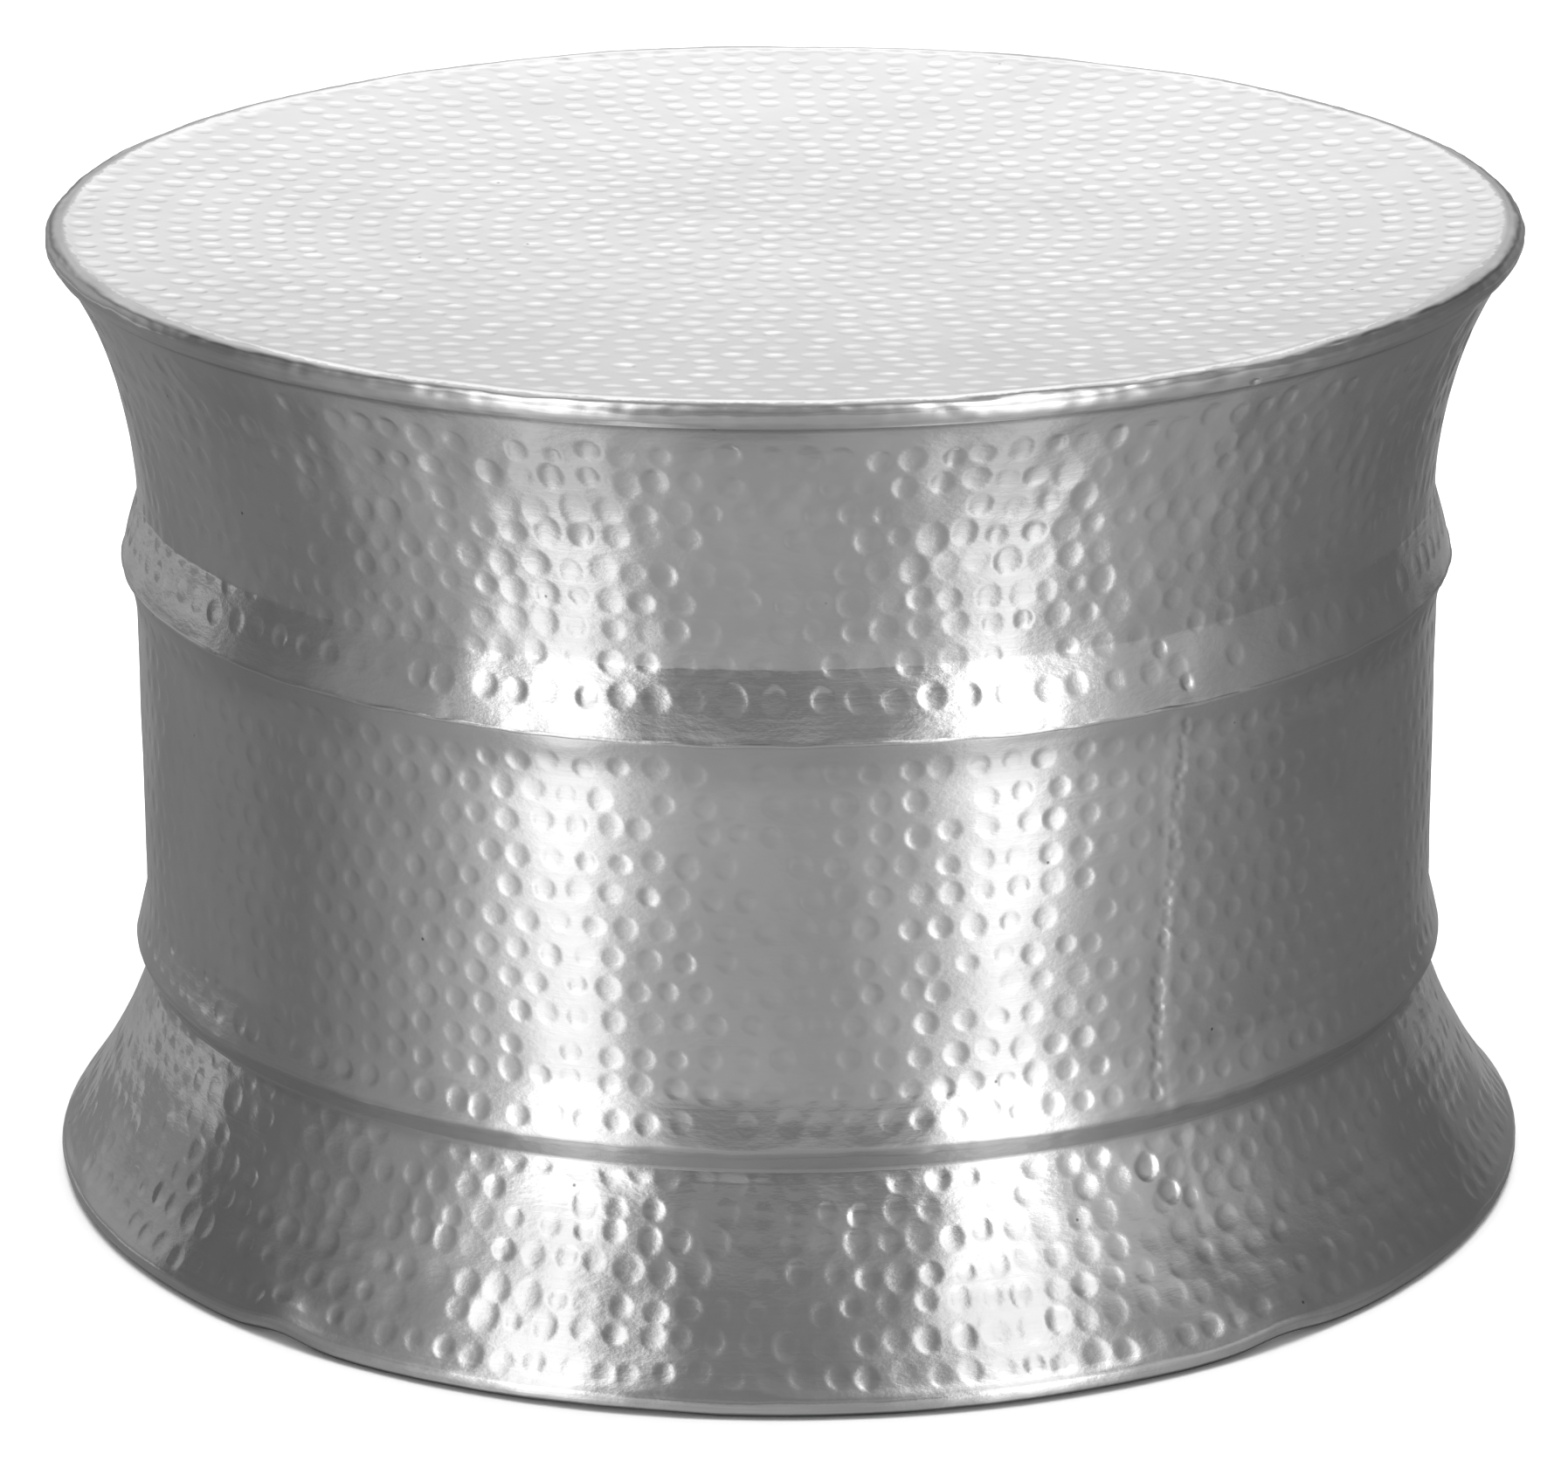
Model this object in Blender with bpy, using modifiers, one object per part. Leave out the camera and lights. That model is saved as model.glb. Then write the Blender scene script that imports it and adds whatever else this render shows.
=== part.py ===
"""Waisted drum coffee table of hammered aluminium sheet, standing on its flared base.

Three rolled sheet sections lap at two raised beads. The round top is a shallow dish folded over
the wired upper edge of the drum, and the bottom edge is rolled round a second wire with a flat foot.
"""

import math

import bpy

# Sheet thickness and the clearance between neighbouring pieces
SHEET = 0.0012
GAP = 0.0003

# Heights, stacked from the floor up
SKIRT_HEIGHT = 0.0872
GROOVE_DROP = 0.0105
SWELL_HEIGHT = 0.0205
DRUM_HEIGHT = 0.1285
RIDGE_RISE = 0.0161
SHOULDER_HEIGHT = 0.0284
FLARE_HEIGHT = 0.1130

# Radius of the straight drum wall, and how far the other outlines stand off from it
DRUM_RADIUS = 0.2703
WAIST_INSET = 0.0016
UPPER_RIDGE_OUT = 0.0057
LOWER_RIDGE_OUT = 0.0048
BASE_OUT = 0.0397
TOP_OUT = 0.0317

# Bends of the sheet
WAIST_BEND = 0.0060
RIDGE_BEND = 0.0040
DRUM_BEND = 0.0080
SWELL_BEND = 0.0400
GROOVE_BEND = 0.0030
SKIRT_LEAD = 0.75

# Laps and folded edges
LAP = 0.0080
EDGE_LENGTH = 0.0032
EDGE_ANGLE = math.radians(25)
RIM_LIP = 0.0025
CURL_ANGLE = math.radians(190)
HEM_ANGLE = math.radians(240)
FOOT_WIDTH = 0.0050

# Wires in the two rolled edges
RIM_WIRE_RADIUS = 0.0018
BASE_WIRE_RADIUS = 0.0040

# Dish of the top: how far its middle lies below the rim, and the radius of its flat middle
DISH_DEPTH = 0.0105
DISH_FLAT = 0.0600

# Facets round the table, round each wire and along each roll
TURN_STEPS = 48
WIRE_STEPS = 8
ROLL_STEPS = 5
DISH_STEPS = 8
FLARE_STEPS = 7
BEND_STEPS = 3

# Heights of the features
LOWER_RIDGE_Z = SKIRT_HEIGHT + GROOVE_DROP
SWELL_Z = LOWER_RIDGE_Z + SWELL_HEIGHT
DRUM_TOP_Z = SWELL_Z + DRUM_HEIGHT
UPPER_RIDGE_Z = DRUM_TOP_Z + RIDGE_RISE
WAIST_Z = UPPER_RIDGE_Z + SHOULDER_HEIGHT
TOP_Z = WAIST_Z + FLARE_HEIGHT

# Rolls: the sheets lie round the wires, one clearance apart
LAY = SHEET + GAP
RIM_ROLL = RIM_WIRE_RADIUS + 2 * LAY
RIM_CENTER = (DRUM_RADIUS + TOP_OUT - RIM_ROLL, TOP_Z - RIM_ROLL)
CURL_RADIUS = RIM_WIRE_RADIUS + GAP + SHEET / 2
HEM_ROLL = BASE_WIRE_RADIUS + LAY
HEM_CENTER = (DRUM_RADIUS + BASE_OUT - HEM_ROLL, HEM_ROLL)
HEM_RADIUS = HEM_ROLL - SHEET / 2

# Corners of the sheets' middle surfaces, as radius and height
WALL = DRUM_RADIUS - SHEET / 2
WAIST = (WALL - WAIST_INSET, WAIST_Z)
WAIST_TOP = (WALL - WAIST_INSET, WAIST_Z + WAIST_BEND)
UPPER_RIDGE = (WALL + UPPER_RIDGE_OUT, UPPER_RIDGE_Z)
DRUM_TOP = (WALL, DRUM_TOP_Z)
DRUM_BOTTOM = (WALL, SWELL_Z)
LOWER_RIDGE = (WALL + LOWER_RIDGE_OUT, LOWER_RIDGE_Z)


def move(point, direction, distance):
    """Point at a distance from another, along a direction."""
    return (point[0] + direction[0] * distance, point[1] + direction[1] * distance)


def toward(start, end):
    """Unit direction from one point to another."""
    length = math.dist(start, end)
    return ((end[0] - start[0]) / length, (end[1] - start[1]) / length)


def outward(direction):
    """Normal of the outer face of a sheet whose path runs down the outside."""
    return (-direction[1], direction[0])


def angle_from(center, point):
    """Angle at which a point is seen from a centre."""
    return math.atan2(point[1] - center[1], point[0] - center[0])


def arc(center, radius, start, end, steps):
    """Stations along an arc, each a point with its direction of travel."""
    turn = math.copysign(1, end - start)
    stations = []
    for i in range(steps + 1):
        angle = start + (end - start) * i / steps
        point = move(center, (math.cos(angle), math.sin(angle)), radius)
        stations.append((point, (-turn * math.sin(angle), turn * math.cos(angle))))
    return stations


def bend(before, corner, after, radius):
    """Stations round a rounded corner, kept within half of the runs that meet there."""
    incoming = toward(before, corner)
    leaving = toward(corner, after)
    cross = incoming[0] * leaving[1] - incoming[1] * leaving[0]
    along = incoming[0] * leaving[0] + incoming[1] * leaving[1]
    turn = math.atan2(cross, along)
    half = math.tan(abs(turn) / 2)
    room = min(math.dist(before, corner), math.dist(corner, after)) / 2
    radius = min(radius, room / half)
    start = move(corner, incoming, -radius * half)
    center = move(start, outward(incoming), math.copysign(radius, turn))
    first = angle_from(center, start)
    return arc(center, radius, first, first + turn, BEND_STEPS)


def inner_corner(before, corner, after, distance):
    """Corner of a second sheet that lies inside the first at a distance."""
    first = outward(toward(before, corner))
    second = outward(toward(corner, after))
    share = distance / (1 + first[0] * second[0] + first[1] * second[1])
    return (corner[0] - (first[0] + second[0]) * share, corner[1] - (first[1] + second[1]) * share)


def flare_radius(start, direction, center, roll):
    """Radius of the curve that leaves a start along a direction and runs onto a roll."""
    normal = outward(direction)
    offset = (start[0] - center[0], start[1] - center[1])
    reach = offset[0] ** 2 + offset[1] ** 2 - roll ** 2
    return reach / (2 * (roll - offset[0] * normal[0] - offset[1] * normal[1]))


def sheet_outline(path):
    """Section of a sheet: down its outer face, then back up its inner face."""
    outer = [move(point, outward(direction), SHEET / 2) for point, direction in path]
    inner = [move(point, outward(direction), -SHEET / 2) for point, direction in path]
    return outer + inner[::-1]


def make_material(name, color, roughness, metallic):
    """Plain surface of one piece."""
    material = bpy.data.materials.new(name)
    material.use_nodes = True
    shader = material.node_tree.nodes["Principled BSDF"]
    shader.inputs["Base Color"].default_value = (*color, 1.0)
    shader.inputs["Roughness"].default_value = roughness
    shader.inputs["Metallic"].default_value = metallic
    return material


def hammered_aluminium(name, tone, roughness):
    """Silver hammered sheet."""
    return make_material(name, (tone, tone, tone * 1.01), roughness, 1.0)


def steel_wire(name):
    """Dull drawn steel."""
    return make_material(name, (0.42, 0.41, 0.40), 0.45, 1.0)


def finish(piece, material, collection):
    """Smooth the round faces, give the piece its material and keep it in the collection."""
    piece.data.shade_smooth()
    piece.data.set_sharp_from_angle(angle=math.radians(40))
    piece.data.materials.append(material)
    for other in list(piece.users_collection):
        other.objects.unlink(piece)
    collection.objects.link(piece)
    return piece


def turned(name, outline, closed, material, collection):
    """Piece turned about the table's upright axis from its section."""
    last = len(outline) - 1
    edges = [(i, i + 1) for i in range(last)]
    if closed:
        edges.append((last, 0))
    profile = bpy.data.meshes.new(name)
    profile.from_pydata([(r, 0.0, z) for r, z in outline], edges, [])
    piece = bpy.data.objects.new(name, profile)
    collection.objects.link(piece)
    screw = piece.modifiers.new("Turn", "SCREW")
    screw.axis = "Z"
    screw.steps = TURN_STEPS
    screw.render_steps = TURN_STEPS
    screw.use_merge_vertices = True
    screw.merge_threshold = 0.00001
    evaluated = piece.evaluated_get(bpy.context.evaluated_depsgraph_get())
    piece.data = bpy.data.meshes.new_from_object(evaluated)
    piece.modifiers.clear()
    bpy.data.meshes.remove(profile)
    piece.data.name = name
    return finish(piece, material, collection)


def wire_ring(name, center, radius, material, collection):
    """Round wire bent into a closed ring."""
    bpy.ops.mesh.primitive_torus_add(
        major_radius=center[0],
        minor_radius=radius,
        major_segments=TURN_STEPS,
        minor_segments=WIRE_STEPS,
        location=(0.0, 0.0, center[1]),
    )
    piece = bpy.context.object
    piece.name = name
    piece.data.name = name
    return finish(piece, material, collection)


def flare_curve():
    """Centre and radius of the trumpet curve from the waist to the rim."""
    down = (0.0, -1.0)
    radius = flare_radius(WAIST_TOP, down, RIM_CENTER, CURL_RADIUS)
    return move(WAIST_TOP, outward(down), radius), radius


def add_table_top(collection):
    """Shallow hammered dish with its edge folded down over the wired rim."""
    across = (1.0, 0.0)
    roll = RIM_ROLL - SHEET / 2
    middle = (0.0, TOP_Z - DISH_DEPTH - SHEET / 2)
    start = move(middle, across, DISH_FLAT)
    radius = flare_radius(start, across, RIM_CENTER, roll)
    center = move(start, outward(across), radius)
    lip_angle = angle_from(RIM_CENTER, flare_curve()[0])
    path = [(middle, across)]
    path += arc(center, radius, angle_from(center, start), angle_from(center, RIM_CENTER), DISH_STEPS)
    path += arc(RIM_CENTER, roll, angle_from(RIM_CENTER, center), lip_angle, ROLL_STEPS)[1:]
    point, direction = path[-1]
    path.append((move(point, direction, RIM_LIP), direction))
    material = hammered_aluminium("top_aluminium", 0.86, 0.28)
    return turned("table_top", sheet_outline(path), False, material, collection)


def add_upper_flare(collection):
    """Trumpet section, curled over the rim wire above and flared to the upper bead below."""
    center, radius = flare_curve()
    path = arc(RIM_CENTER, CURL_RADIUS, CURL_ANGLE, angle_from(RIM_CENTER, center), ROLL_STEPS + 3)
    path += arc(center, radius, angle_from(center, RIM_CENTER), math.pi, FLARE_STEPS)[1:]
    path += bend(WAIST_TOP, WAIST, UPPER_RIDGE, WAIST_BEND)
    path.append((UPPER_RIDGE, toward(WAIST, UPPER_RIDGE)))
    material = hammered_aluminium("flare_aluminium", 0.76, 0.32)
    return turned("upper_flare", sheet_outline(path), True, material, collection)


def add_mid_drum(collection):
    """Straight section, lapped behind the upper bead and turned in under the lower bead."""
    shoulder = toward(WAIST, UPPER_RIDGE)
    fold = move(UPPER_RIDGE, outward(shoulder), -LAY)
    lap_end = move(fold, shoulder, -LAP)
    edge_end = move(LOWER_RIDGE, edge_direction(), EDGE_LENGTH)
    path = [(lap_end, shoulder)]
    path += bend(lap_end, fold, DRUM_TOP, RIDGE_BEND)
    path += bend(fold, DRUM_TOP, DRUM_BOTTOM, DRUM_BEND)
    path += bend(DRUM_TOP, DRUM_BOTTOM, LOWER_RIDGE, SWELL_BEND)
    path += bend(DRUM_BOTTOM, LOWER_RIDGE, edge_end, RIDGE_BEND)
    path.append((edge_end, edge_direction()))
    material = hammered_aluminium("drum_aluminium", 0.74, 0.32)
    return turned("mid_drum", sheet_outline(path), True, material, collection)


def edge_direction():
    """Direction in which the drum's lower edge turns in under the bead."""
    return (-math.sin(EDGE_ANGLE), -math.cos(EDGE_ANGLE))


def add_base_flare(collection):
    """Skirt section, lapped inside the lower bead, with its bottom edge rolled round a wire."""
    swell = toward(DRUM_BOTTOM, LOWER_RIDGE)
    edge_end = move(LOWER_RIDGE, edge_direction(), EDGE_LENGTH)
    ridge = inner_corner(DRUM_BOTTOM, LOWER_RIDGE, edge_end, LAY)
    lap_end = move(ridge, swell, -LAP)
    groove = move(ridge, edge_direction(), (ridge[1] - SKIRT_HEIGHT) / math.cos(EDGE_ANGLE))
    slope = SKIRT_LEAD * math.atan2(HEM_CENTER[0] - groove[0], groove[1] - HEM_CENTER[1])
    skirt = (math.sin(slope), -math.cos(slope))
    start = move(groove, skirt, 2 * GROOVE_BEND)
    radius = flare_radius(start, skirt, HEM_CENTER, HEM_RADIUS)
    center = move(start, outward(skirt), radius)
    foot = (HEM_CENTER[0] - FOOT_WIDTH, HEM_CENTER[1])
    path = [(lap_end, swell)]
    path += bend(lap_end, ridge, groove, RIDGE_BEND - LAY)
    path += bend(ridge, groove, start, GROOVE_BEND)
    path += arc(center, radius, angle_from(center, start), angle_from(center, HEM_CENTER), ROLL_STEPS)
    path += arc(HEM_CENTER, HEM_RADIUS, angle_from(HEM_CENTER, center), -math.pi / 2, ROLL_STEPS)[1:]
    path += arc(foot, HEM_RADIUS, -math.pi / 2, -HEM_ANGLE, ROLL_STEPS)
    material = hammered_aluminium("skirt_aluminium", 0.74, 0.30)
    return turned("base_flare", sheet_outline(path), True, material, collection)


def build():
    """Make every piece of the table in one collection."""
    for item in list(bpy.data.objects):
        bpy.data.objects.remove(item)
    collection = bpy.data.collections.new("hammered_drum_table")
    bpy.context.scene.collection.children.link(collection)
    add_table_top(collection)
    add_upper_flare(collection)
    add_mid_drum(collection)
    add_base_flare(collection)
    wire_ring("rim_wire", RIM_CENTER, RIM_WIRE_RADIUS, steel_wire("rim_wire_steel"), collection)
    wire_ring("base_wire", HEM_CENTER, BASE_WIRE_RADIUS, steel_wire("base_wire_steel"), collection)


build()
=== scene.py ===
"""Looks of the hammered drum coffee table: dented sheets, metal, studio light and camera."""

import math

import bpy
import numpy as np
from mathutils import Matrix, Vector


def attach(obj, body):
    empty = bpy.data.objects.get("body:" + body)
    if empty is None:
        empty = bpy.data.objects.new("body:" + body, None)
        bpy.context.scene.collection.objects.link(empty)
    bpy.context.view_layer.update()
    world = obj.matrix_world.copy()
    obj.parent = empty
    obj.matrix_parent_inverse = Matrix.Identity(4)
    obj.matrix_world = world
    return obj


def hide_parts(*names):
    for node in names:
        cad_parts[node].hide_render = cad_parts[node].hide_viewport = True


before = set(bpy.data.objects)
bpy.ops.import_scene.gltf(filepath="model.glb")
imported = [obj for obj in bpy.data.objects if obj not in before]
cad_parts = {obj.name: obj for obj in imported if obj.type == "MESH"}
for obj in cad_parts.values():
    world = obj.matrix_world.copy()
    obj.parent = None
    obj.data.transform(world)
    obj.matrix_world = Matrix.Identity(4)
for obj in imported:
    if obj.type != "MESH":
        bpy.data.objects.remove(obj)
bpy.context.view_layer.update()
rng = np.random.default_rng(41)

# Sizes of the sheets, as in the part's source
SHEET = 0.0012
GAP = 0.0003
LAY = SHEET + GAP
SKIRT_HEIGHT = 0.0872
LOWER_RIDGE_Z = SKIRT_HEIGHT + 0.0105
SWELL_Z = LOWER_RIDGE_Z + 0.0205
DRUM_TOP_Z = SWELL_Z + 0.1285
UPPER_RIDGE_Z = DRUM_TOP_Z + 0.0161
WAIST_Z = UPPER_RIDGE_Z + 0.0284
TOP_Z = WAIST_Z + 0.1130
DRUM_RADIUS = 0.2703
WALL = DRUM_RADIUS - SHEET / 2
WAIST_BEND = 0.0060
RIM_WIRE_RADIUS = 0.0018
BASE_WIRE_RADIUS = 0.0040
RIM_ROLL = RIM_WIRE_RADIUS + 2 * LAY
RIM_CENTER = (DRUM_RADIUS + 0.0317 - RIM_ROLL, TOP_Z - RIM_ROLL)
CURL_RADIUS = RIM_WIRE_RADIUS + GAP + SHEET / 2
HEM_ROLL = BASE_WIRE_RADIUS + LAY
HEM_CENTER = (DRUM_RADIUS + 0.0397 - HEM_ROLL, HEM_ROLL)
HEM_RADIUS = HEM_ROLL - SHEET / 2
DISH_DEPTH = 0.0105
DISH_FLAT = 0.0600
FOOT_WIDTH = 0.0050
RIM_LIP = 0.0025
LAP = 0.0080
EDGE_LENGTH = 0.0032
EDGE_ANGLE = math.radians(25)
WAIST = (WALL - 0.0016, WAIST_Z)
WAIST_TOP = (WALL - 0.0016, WAIST_Z + WAIST_BEND)
UPPER_RIDGE = (WALL + 0.0057, UPPER_RIDGE_Z)
DRUM_TOP = (WALL, DRUM_TOP_Z)
DRUM_BOTTOM = (WALL, SWELL_Z)
LOWER_RIDGE = (WALL + 0.0048, LOWER_RIDGE_Z)

# Outward spread of the hand-made flare from its plain curve, by height above the waist
SPREAD_OF_FLARE = (
    (-0.029, 0.0), (-0.019, 0.0003), (-0.007, 0.0), (0.003, -0.0005), (0.015, 0.0005), (0.033, 0.0013),
    (0.055, 0.0012), (0.078, 0.0006), (0.098, 0.0),
)

# Hollow and raised lip at the lower edge of the upper bead, by distance from the edge
LEDGE_PLACES = (0.0, 0.0001, 0.0003, 0.0005, 0.0007, 0.0009, 0.0014, 0.0045, 0.0110)
LEDGE_LEVELS = (0.0002, 0.0002, 0.00015, 0.0, -0.00015, -0.0002, -0.0002, -0.0001, 0.0)

# Low ridge and bevel on the top of the rolled rim, by distance out from the top of the roll
RIDGE_PLACES = (-0.0065, -0.0032, -0.0004, 0.0012, 0.0040, 0.0055)
RIDGE_LEVELS = (0.0, 0.00047, -0.00012, -0.00022, -0.00005, 0.0)

# Rounding of the worn outer edge of a sheet
WORN = 0.0010

# Hammer dents: pitch along a row, width, stray from the row, share left out, height to width,
# spread of the sizes, and how flat the floor of a dent is
TOP_DENTS = dict(size=0.0100, loose=0.0007, skip=0.01, tall=1.0, vary=0.06, power=2.4)
RIM_DENTS = dict(pitch=0.0132, size=0.0101, loose=0.0022, skip=0.03, tall=1.15, vary=0.12, power=2.4)
FLARE_DENTS = dict(pitch=0.0130, size=0.0098, loose=0.0018, skip=0.03, tall=1.12, vary=0.10, power=2.5)
BEAD_DENTS = dict(pitch=0.0146, loose=0.0010, skip=0.05, tall=1.05, vary=0.09, power=2.6)
DRUM_DENTS = dict(pitch=0.0134, size=0.0094, loose=0.0012, skip=0.02, tall=1.04, vary=0.06, power=2.6)
SKIRT_DENTS = dict(pitch=0.0132, size=0.0097, loose=0.0019, skip=0.05, tall=1.14, vary=0.10, power=2.4)
TOP_RINGS = 22
RING_PITCH = 0.0131

# Wavy hem: unevenness all round, height of its kinks, and their azimuths and widths in degrees
HEM_UNEVENNESS = 0.0004
KINK_HEIGHT = 0.0028
KINKS = ((-41.0, 3.2), (39.5, 4.0), (118.0, 5.0), (-150.0, 4.0))

# Mesh spacing: columns round the table, and the step along a sheet
COLUMNS = 1664
STEP = 0.0010

# Rings near the middle of the top: fewest columns, and closest spacing of the columns
FEWEST_COLUMNS = 26
CLOSEST_COLUMNS = 0.00068

# Facets of the rod in the hem: round its section and round the table
ROD_SIDES = 20
ROD_COLUMNS = 416

# Camera: downward tilt, roll, focal length in millimetres, the point it looks at, and its distance
VIEW_TILT = math.radians(18.523)
VIEW_ROLL = math.radians(-0.253)
VIEW_LENS = 154.01
VIEW_AIM = (-0.0013, 0.0, 0.1772)
VIEW_DISTANCE = 2.8237


# Paths of the sheets' middle surfaces

def move(point, direction, distance):
    """Point at a distance from another, along a direction."""
    return (point[0] + direction[0] * distance, point[1] + direction[1] * distance)


def toward(start, end):
    """Unit direction from one point to another."""
    length = math.dist(start, end)
    return ((end[0] - start[0]) / length, (end[1] - start[1]) / length)


def outward(direction):
    """Normal of the outer face of a sheet whose path runs down the outside."""
    return (-direction[1], direction[0])


def angle_from(center, point):
    """Angle at which a point is seen from a centre."""
    return math.atan2(point[1] - center[1], point[0] - center[0])


def arc(center, radius, start, end):
    """Stations along an arc, each a point with its direction of travel."""
    turn = math.copysign(1, end - start)
    spacing = min(STEP, max(0.0004, radius * 0.15))
    steps = max(3, math.ceil(abs(end - start) * radius / spacing))
    stations = []
    for angle in np.linspace(start, end, steps + 1):
        point = move(center, (math.cos(angle), math.sin(angle)), radius)
        stations.append((point, (-turn * math.sin(angle), turn * math.cos(angle))))
    return stations


def bend(before, corner, after, radius):
    """Stations round a rounded corner."""
    incoming = toward(before, corner)
    leaving = toward(corner, after)
    cross = incoming[0] * leaving[1] - incoming[1] * leaving[0]
    along = incoming[0] * leaving[0] + incoming[1] * leaving[1]
    turn = math.atan2(cross, along)
    half = math.tan(abs(turn) / 2)
    room = min(math.dist(before, corner), math.dist(corner, after)) / 2
    radius = min(radius, room / half)
    start = move(corner, incoming, -radius * half)
    center = move(start, outward(incoming), math.copysign(radius, turn))
    first = angle_from(center, start)
    return arc(center, radius, first, first + turn)


def joined(*runs):
    """One path of several runs, with straight stretches filled at the mesh spacing."""
    path = [runs[0][0]]
    for point, direction in [station for run in runs for station in run][1:]:
        last = path[-1][0]
        gap = math.dist(last, point)
        if gap < 1e-6:
            continue
        count = math.ceil(gap / STEP - 0.01)
        for i in range(1, count):
            path.append((move(last, toward(last, point), gap * i / count), direction))
        path.append((point, direction))
    return path


def inner_corner(before, corner, after, distance):
    """Corner of a second sheet that lies inside the first at a distance."""
    first = outward(toward(before, corner))
    second = outward(toward(corner, after))
    share = distance / (1 + first[0] * second[0] + first[1] * second[1])
    return (corner[0] - (first[0] + second[0]) * share, corner[1] - (first[1] + second[1]) * share)


def flare_radius(start, direction, center, roll):
    """Radius of the curve that leaves a start along a direction and runs onto a roll."""
    normal = outward(direction)
    offset = (start[0] - center[0], start[1] - center[1])
    reach = offset[0] ** 2 + offset[1] ** 2 - roll ** 2
    return reach / (2 * (roll - offset[0] * normal[0] - offset[1] * normal[1]))


def flare_curve():
    """Centre and radius of the trumpet curve from the waist to the rim."""
    radius = flare_radius(WAIST_TOP, (0.0, -1.0), RIM_CENTER, CURL_RADIUS)
    return move(WAIST_TOP, (1.0, 0.0), radius), radius


def edge_direction():
    """Direction in which the drum's lower edge turns in under the bead."""
    return (-math.sin(EDGE_ANGLE), -math.cos(EDGE_ANGLE))


def top_path():
    """Flat middle, dish, rolled rim and lip of the top, from near the axis outwards."""
    across = (1.0, 0.0)
    roll = RIM_ROLL - SHEET / 2
    middle = (STEP, TOP_Z - DISH_DEPTH - SHEET / 2)
    start = (DISH_FLAT, middle[1])
    radius = flare_radius(start, across, RIM_CENTER, roll)
    center = move(start, outward(across), radius)
    fold = arc(RIM_CENTER, roll, angle_from(RIM_CENTER, center), angle_from(RIM_CENTER, flare_curve()[0]))
    point, direction = fold[-1]
    return joined(
        [(middle, across)],
        arc(center, radius, angle_from(center, start), angle_from(center, RIM_CENTER)),
        fold,
        [(move(point, direction, RIM_LIP), direction)],
    )


def flare_path():
    """Curl over the rim wire, trumpet, waist and shoulder down to the upper ridge."""
    center, radius = flare_curve()
    curl = arc(RIM_CENTER, CURL_RADIUS, math.radians(190), angle_from(RIM_CENTER, center))
    trumpet = arc(center, radius, angle_from(center, RIM_CENTER), math.pi)
    waist = bend(WAIST_TOP, WAIST, UPPER_RIDGE, WAIST_BEND)
    shoulder = toward(WAIST, UPPER_RIDGE)
    close = [0.0014, 0.0011, 0.0009, 0.0007, 0.0005, 0.0003, 0.0001, 0.0]
    edge = [(move(UPPER_RIDGE, shoulder, -WORN / 2 - short), shoulder) for short in close]
    return joined(curl, trumpet, waist, edge)


def drum_path():
    """Lap behind the upper ridge, straight wall, swell and turned-in lower edge."""
    shoulder = toward(WAIST, UPPER_RIDGE)
    fold = move(UPPER_RIDGE, outward(shoulder), -LAY)
    lap_end = move(fold, shoulder, -LAP)
    edge_end = move(LOWER_RIDGE, edge_direction(), EDGE_LENGTH)
    return joined(
        [(lap_end, shoulder)],
        bend(lap_end, fold, DRUM_TOP, 0.004),
        bend(fold, DRUM_TOP, DRUM_BOTTOM, 0.060),
        bend(DRUM_TOP, DRUM_BOTTOM, LOWER_RIDGE, 0.040),
        bend(DRUM_BOTTOM, LOWER_RIDGE, edge_end, 0.0018),
        [(edge_end, edge_direction())],
    )


def skirt_path():
    """Lap inside the lower bead, groove, skirt and the rolled hem with its flat foot."""
    swell = toward(DRUM_BOTTOM, LOWER_RIDGE)
    edge_end = move(LOWER_RIDGE, edge_direction(), EDGE_LENGTH)
    ridge = inner_corner(DRUM_BOTTOM, LOWER_RIDGE, edge_end, LAY)
    lap_end = move(ridge, swell, -LAP)
    groove = move(ridge, edge_direction(), (ridge[1] - SKIRT_HEIGHT) / math.cos(EDGE_ANGLE))
    slope = 0.75 * math.atan2(HEM_CENTER[0] - groove[0], groove[1] - HEM_CENTER[1])
    skirt = (math.sin(slope), -math.cos(slope))
    start = move(groove, skirt, 0.006)
    radius = flare_radius(start, skirt, HEM_CENTER, HEM_RADIUS)
    center = move(start, outward(skirt), radius)
    foot = (HEM_CENTER[0] - FOOT_WIDTH, HEM_CENTER[1])
    return joined(
        [(lap_end, swell)],
        bend(lap_end, ridge, groove, 0.004 - LAY),
        bend(ridge, groove, start, 0.003),
        arc(center, radius, angle_from(center, start), angle_from(center, HEM_CENTER)),
        arc(HEM_CENTER, HEM_RADIUS, angle_from(HEM_CENTER, center), -math.pi / 2),
        arc(foot, HEM_RADIUS, -math.pi / 2, -math.radians(240)),
    )


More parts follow.
